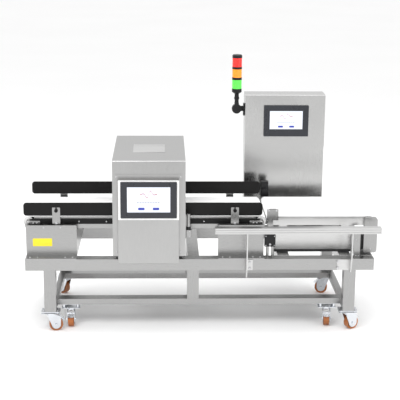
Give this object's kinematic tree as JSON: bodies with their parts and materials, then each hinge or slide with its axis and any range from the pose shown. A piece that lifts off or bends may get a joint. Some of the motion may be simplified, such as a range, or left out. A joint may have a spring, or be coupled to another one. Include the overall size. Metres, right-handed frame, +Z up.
{
  "type": "conveyor metal detector",
  "caption": "Wheeled stainless conveyor with a tunnel metal detector head, a checkweigher belt, side guides, an electrical cabinet and a stack light.",
  "frame": {"origin": "on the floor under the centre of the machine's box", "axes": "+X along the belts in the direction of travel, -Y to the operator's side, +Z up"},
  "size_m": [1.822, 0.8522, 1.344],
  "materials": {
    "stainless": "brushed stainless sheet and tube",
    "zinc": "bright zinc plated pressings",
    "belt_white": "smooth white conveyor belting",
    "black_plastic": "matt black plastic",
    "white_plastic": "white detectable plastic",
    "alloy": "natural anodised",
    "dark_bezel": "fine textured dark grey",
    "glass": "display glass",
    "control_box": "fine textured grey",
    "motor_black": "black powder coat",
    "belt_black": "toothed black rubber",
    "tyre": "orange brown polyurethane tread",
    "steel": "ground steel",
    "lens_red": "translucent red",
    "lens_amber": "translucent amber",
    "lens_green": "translucent green"
  },
  "bodies": {
    "machine": {"upper_frame": "stainless", "leg_frame": "stainless", "caster_plates": "zinc", "conveyor_belts": "belt_white", "side_rails": "black_plastic", "bed_frame": "stainless", "roller_brackets": "stainless", "conveyor_stands": "stainless", "control_units": "control_box", "head_casing": "stainless", "tunnel_liner": "white_plastic", "detector_coil": "white_plastic", "isolation_pads": "black_plastic", "control_cover": "stainless", "panel_bezels": "dark_bezel", "panel_glasses": "glass", "sensor_brackets": "stainless", "photo_eyes": "black_plastic", "weigher_frame": "alloy", "weigher_base": "stainless", "load_cell": "alloy", "drive_cover": "stainless", "weigher_motor": "motor_black", "timing_belt": "belt_black", "product_rail": "alloy", "guide_brackets": "stainless", "cabinet_shell": "stainless", "light_bracket": "black_plastic"},
    "door": {"cabinet_door": "stainless"},
    "latch": {"door_latch": "black_plastic"},
    "stack_light": {"light_column": "black_plastic", "lens_red": "lens_red", "lens_amber": "lens_amber", "lens_green": "lens_green"},
    "front_guide": {"guide_front": "black_plastic"},
    "rear_guide": {"guide_rear": "black_plastic"},
    "detector_drive_roller": {"infeed_roller": "steel"},
    "detector_tail_roller": {"transfer_roller": "steel"},
    "weigher_drive_roller_body": {"weigher_drive_roller": "steel"},
    "weigher_tail_roller_body": {"weigher_tail_roller": "steel"},
    "motor_pulley_body": {"motor_pulley": "steel"},
    "fork_1": {"caster_fork_1": "zinc"},
    "wheel_1": {"caster_wheel_1": "tyre"},
    "pedal_1": {"caster_pedal_1": "zinc"},
    "fork_2": {"caster_fork_2": "zinc"},
    "wheel_2": {"caster_wheel_2": "tyre"},
    "pedal_2": {"caster_pedal_2": "zinc"},
    "fork_3": {"caster_fork_3": "zinc"},
    "wheel_3": {"caster_wheel_3": "tyre"},
    "pedal_3": {"caster_pedal_3": "zinc"},
    "fork_4": {"caster_fork_4": "zinc"},
    "wheel_4": {"caster_wheel_4": "tyre"},
    "pedal_4": {"caster_pedal_4": "zinc"},
    "fork_5": {"caster_fork_5": "zinc"},
    "wheel_5": {"caster_wheel_5": "tyre"},
    "pedal_5": {"caster_pedal_5": "zinc"},
    "fork_6": {"caster_fork_6": "zinc"},
    "wheel_6": {"caster_wheel_6": "tyre"},
    "pedal_6": {"caster_pedal_6": "zinc"}
  },
  "joints": [
    {"name": "detector_belt_drive", "type": "hinge", "parent": "machine", "child": "detector_drive_roller", "pos_m": [-0.883, -0.04115, 0.559], "axis": [0, 1, 0], "continuous": true},
    {"name": "detector_belt_tail", "type": "hinge", "parent": "machine", "child": "detector_tail_roller", "pos_m": [0.3115, -0.04115, 0.559], "axis": [0, 1, 0], "continuous": true},
    {"name": "weigher_belt_drive", "type": "hinge", "parent": "machine", "child": "weigher_drive_roller_body", "pos_m": [0.8755, -0.04115, 0.5655], "axis": [0, 1, 0], "continuous": true},
    {"name": "weigher_belt_tail", "type": "hinge", "parent": "machine", "child": "weigher_tail_roller_body", "pos_m": [0.364, -0.04115, 0.5655], "axis": [0, 1, 0], "continuous": true},
    {"name": "weigher_motor_pulley", "type": "hinge", "parent": "machine", "child": "motor_pulley_body", "pos_m": [0.8755, -0.26015, 0.452], "axis": [0, 1, 0], "continuous": true},
    {"name": "cabinet_door_hinge", "type": "hinge", "parent": "machine", "child": "door", "pos_m": [0.703, 0.41085, 0.76], "axis": [0, 0, -1], "range_deg": [0, 110]},
    {"name": "door_latch_turn", "type": "hinge", "parent": "door", "child": "latch", "pos_m": [0.296, 0.40885, 0.76], "axis": [0, 1, 0], "range_deg": [0, 90]},
    {"name": "stack_light_fold", "type": "hinge", "parent": "machine", "child": "stack_light", "pos_m": [0.214, 0.34485, 1.044], "axis": [0, 1, 0], "range_deg": [-90, 0]},
    {"name": "front_guide_height", "type": "slide", "parent": "machine", "child": "front_guide", "axis": [0, 0, 1], "range_m": [0, 0.02]},
    {"name": "rear_guide_height", "type": "slide", "parent": "machine", "child": "rear_guide", "axis": [0, 0, 1], "range_m": [0, 0.02]},
    {"name": "caster_1_swivel", "type": "hinge", "parent": "machine", "child": "fork_1", "pos_m": [-0.772, -0.32615, 0.09], "axis": [0, 0, 1], "continuous": true},
    {"name": "caster_1_roll", "type": "hinge", "parent": "fork_1", "child": "wheel_1", "pos_m": [-0.74724, -0.32267, 0.035], "axis": [-0.1392, 0.9903, 0], "continuous": true},
    {"name": "caster_1_brake", "type": "hinge", "parent": "fork_1", "child": "pedal_1", "pos_m": [-0.73041, -0.32031, 0.074], "axis": [-0.1392, 0.9903, 0], "range_deg": [0, 6]},
    {"name": "caster_2_swivel", "type": "hinge", "parent": "machine", "child": "fork_2", "pos_m": [-0.674, -0.24115, 0.09], "axis": [0, 0, 1], "continuous": true},
    {"name": "caster_2_roll", "type": "hinge", "parent": "fork_2", "child": "wheel_2", "pos_m": [-0.674, -0.26615, 0.035], "axis": [1, 0, 0], "continuous": true},
    {"name": "caster_2_brake", "type": "hinge", "parent": "fork_2", "child": "pedal_2", "pos_m": [-0.674, -0.28315, 0.074], "axis": [1, 0, 0], "range_deg": [0, 6]},
    {"name": "caster_3_swivel", "type": "hinge", "parent": "machine", "child": "fork_3", "pos_m": [0.666, -0.24115, 0.09], "axis": [0, 0, 1], "continuous": true},
    {"name": "caster_3_roll", "type": "hinge", "parent": "fork_3", "child": "wheel_3", "pos_m": [0.66382, -0.26605, 0.035], "axis": [0.9962, -0.0872, 0], "continuous": true},
    {"name": "caster_3_brake", "type": "hinge", "parent": "fork_3", "child": "pedal_3", "pos_m": [0.66234, -0.28299, 0.074], "axis": [0.9962, -0.0872, 0], "range_deg": [0, 6]},
    {"name": "caster_4_swivel", "type": "hinge", "parent": "machine", "child": "fork_4", "pos_m": [0.764, -0.32615, 0.09], "axis": [0, 0, 1], "continuous": true},
    {"name": "caster_4_roll", "type": "hinge", "parent": "fork_4", "child": "wheel_4", "pos_m": [0.78666, -0.31559, 0.035], "axis": [-0.4226, 0.9063, 0], "continuous": true},
    {"name": "caster_4_brake", "type": "hinge", "parent": "fork_4", "child": "pedal_4", "pos_m": [0.80207, -0.3084, 0.074], "axis": [-0.4226, 0.9063, 0], "range_deg": [0, 6]},
    {"name": "caster_5_swivel", "type": "hinge", "parent": "machine", "child": "fork_5", "pos_m": [0.731, 0.24385, 0.09], "axis": [0, 0, 1], "continuous": true},
    {"name": "caster_5_roll", "type": "hinge", "parent": "fork_5", "child": "wheel_5", "pos_m": [0.70638, 0.24819, 0.035], "axis": [-0.1736, -0.9848, 0], "continuous": true},
    {"name": "caster_5_brake", "type": "hinge", "parent": "fork_5", "child": "pedal_5", "pos_m": [0.68964, 0.25114, 0.074], "axis": [-0.1736, -0.9848, 0], "range_deg": [0, 6]},
    {"name": "caster_6_swivel", "type": "hinge", "parent": "machine", "child": "fork_6", "pos_m": [-0.739, 0.24385, 0.09], "axis": [0, 0, 1], "continuous": true},
    {"name": "caster_6_roll", "type": "hinge", "parent": "fork_6", "child": "wheel_6", "pos_m": [-0.75815, 0.25992, 0.035], "axis": [-0.6428, -0.766, 0], "continuous": true},
    {"name": "caster_6_brake", "type": "hinge", "parent": "fork_6", "child": "pedal_6", "pos_m": [-0.77117, 0.27085, 0.074], "axis": [-0.6428, -0.766, 0], "range_deg": [0, 6]}
  ],
  "couplings": [
    {"joint": "detector_belt_tail", "follows": "detector_belt_drive", "ratio": 1},
    {"joint": "weigher_belt_tail", "follows": "weigher_belt_drive", "ratio": 1},
    {"joint": "weigher_motor_pulley", "follows": "weigher_belt_drive", "ratio": 1}
  ]
}
